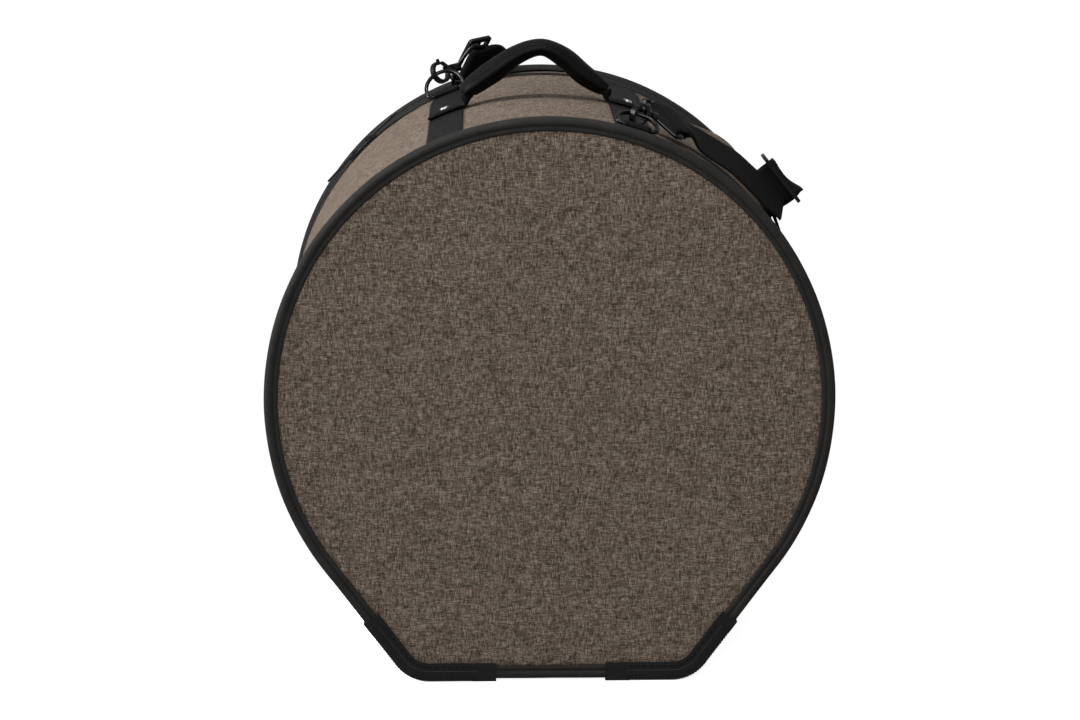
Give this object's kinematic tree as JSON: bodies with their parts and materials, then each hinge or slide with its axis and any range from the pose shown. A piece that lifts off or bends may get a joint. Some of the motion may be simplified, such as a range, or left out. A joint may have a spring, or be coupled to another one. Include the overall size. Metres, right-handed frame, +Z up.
{
  "type": "floor tom bag",
  "caption": "Padded round drum bag with a flat base, ribbed corner guards, zipped rear lid, bowed carry handle and a shoulder strap on snap hooks.",
  "frame": {"origin": "on the floor, under the middle of the bag's base", "axes": "+Z up, +Y towards the zipped lid, +X to the right seen from the closed front panel"},
  "size_m": [0.472, 0.4571, 0.518],
  "materials": {
    "cover_cloth": "woven melange cloth, brown and grey",
    "foam": "closed-cell foam padding",
    "lining_cloth": "brushed nylon lining",
    "binding_tape": "woven binding tape, black",
    "zip_tape": "woven zip tape, black",
    "zip_teeth": "nylon coil teeth",
    "dark_metal": "black nickel plated zinc",
    "bright_metal": "nickel plated",
    "guard_rubber": "ribbed moulded guard, black",
    "patch_leather": "grained imitation leather, charcoal",
    "handle_leather": "smooth imitation leather, black",
    "handle_core": "moulded core of the grip",
    "webbing": "woven nylon webbing, black",
    "glide_plastic": "moulded nylon, black"
  },
  "bodies": {
    "bag": {"front_panel_cover": "cover_cloth", "body_cover": "cover_cloth", "front_panel_foam": "foam", "body_foam": "foam", "front_panel_lining": "lining_cloth", "body_lining": "lining_cloth", "front_rim_binding": "binding_tape", "lid_hinge_cloth": "binding_tape", "zip_tape_body": "zip_tape", "zip_teeth_body": "zip_teeth", "corner_guard_front_left": "guard_rubber", "corner_guard_front_right": "guard_rubber", "patch_left": "patch_leather", "patch_right": "patch_leather", "handle_tab_left": "patch_leather", "handle_tab_right": "patch_leather", "handle_tongue_left": "handle_leather", "handle_tongue_right": "handle_leather", "handle_rivet_left": "bright_metal", "handle_rivet_right": "bright_metal", "ring_keeper_front": "patch_leather", "ring_keeper_rear": "patch_leather", "hook_swivel_front": "dark_metal", "hook_swivel_rear": "dark_metal", "strap_wrap_front": "webbing", "strap_wrap_rear": "webbing", "strap_front_run": "webbing", "strap_side_run": "webbing", "strap_rear_run": "webbing", "strap_back_run": "webbing", "strap_glide_front": "glide_plastic", "strap_glide_rear": "glide_plastic"},
    "lid": {"lid_panel_cover": "cover_cloth", "lid_panel_foam": "foam", "lid_panel_lining": "lining_cloth", "lid_strip_cover": "cover_cloth", "lid_strip_foam": "foam", "lid_strip_lining": "lining_cloth", "rear_rim_binding": "binding_tape", "zip_tape_lid": "zip_tape", "zip_teeth_lid": "zip_teeth", "corner_guard_rear_left": "guard_rubber", "corner_guard_rear_right": "guard_rubber"},
    "handle": {"handle_cover": "handle_leather", "handle_core": "handle_core"},
    "zip_slider_right": {"zip_slider_right": "dark_metal"},
    "zip_slider_left": {"zip_slider_left": "dark_metal"},
    "zip_pull_right": {"zip_pull_right": "dark_metal"},
    "zip_pull_left": {"zip_pull_left": "dark_metal"},
    "ring_front": {"ring_front": "dark_metal"},
    "ring_rear": {"ring_rear": "dark_metal"},
    "hook_front": {"hook_front": "dark_metal"},
    "hook_rear": {"hook_rear": "dark_metal"},
    "hook_gate_front": {"hook_gate_front": "dark_metal"},
    "hook_gate_rear": {"hook_gate_rear": "dark_metal"}
  },
  "joints": [
    {"name": "lid_hinge", "type": "hinge", "parent": "bag", "child": "lid", "pos_m": [0, 0.167, 0.006], "axis": [-1, 0, 0], "range_deg": [0, 110], "deforming": ["lid_hinge_cloth", "strap_back_run"]},
    {"name": "zip_slider_right_travel", "type": "hinge", "parent": "bag", "child": "zip_slider_right", "pos_m": [0, 0.167, 0.237], "axis": [0, 1, 0], "range_deg": [0, 166]},
    {"name": "zip_slider_left_travel", "type": "hinge", "parent": "bag", "child": "zip_slider_left", "pos_m": [0, 0.167, 0.237], "axis": [0, 1, 0], "range_deg": [-77, 0]},
    {"name": "zip_pull_right_swing", "type": "hinge", "parent": "zip_slider_right", "child": "zip_pull_right", "pos_m": [-0.16047, 0.167, 0.40978], "axis": [0, -1, 0], "range_deg": [0, 95]},
    {"name": "zip_pull_left_swing", "type": "hinge", "parent": "zip_slider_left", "child": "zip_pull_left", "pos_m": [-0.17278, 0.167, 0.39747], "axis": [0, 1, 0], "range_deg": [0, 95]},
    {"name": "handle_swing", "type": "hinge", "parent": "bag", "child": "handle", "pos_m": [-0.008, -0.014, 0.46596], "axis": [0.9994, 0, 0.0349], "range_deg": [-45, 45], "deforming": ["handle_tongue_left", "handle_tongue_right"]},
    {"name": "ring_front_swing", "type": "hinge", "parent": "bag", "child": "ring_front", "pos_m": [0.07187, -0.206, 0.46221], "axis": [0.9527, 0, -0.304], "range_deg": [-4, 2]},
    {"name": "ring_rear_swing", "type": "hinge", "parent": "bag", "child": "ring_rear", "pos_m": [-0.08741, 0.132, 0.45665], "axis": [0.9291, 0, 0.3697], "range_deg": [-4, 1]},
    {"name": "hook_front_swivel", "type": "hinge", "parent": "bag", "child": "hook_front", "pos_m": [0.07439, -0.18326, 0.47009], "axis": [0.5998, 0.7748, -0.1999], "range_deg": [-10, 10]},
    {"name": "hook_rear_swivel", "type": "hinge", "parent": "bag", "child": "hook_rear", "pos_m": [-0.09374, 0.14911, 0.47255], "axis": [0.6632, 0.7372, 0.129], "range_deg": [-10, 10]},
    {"name": "hook_gate_front_open", "type": "hinge", "parent": "hook_front", "child": "hook_gate_front", "pos_m": [0.08285, -0.17279, 0.46854], "axis": [0.7401, -0.6322, -0.2293], "range_deg": [0, 14], "stiffness_Nm_per_rad": 0.02},
    {"name": "hook_gate_rear_open", "type": "hinge", "parent": "hook_rear", "child": "hook_gate_rear", "pos_m": [-0.08522, 0.15927, 0.47539], "axis": [0.6537, -0.6545, 0.3799], "range_deg": [0, 14], "stiffness_Nm_per_rad": 0.02}
  ]
}
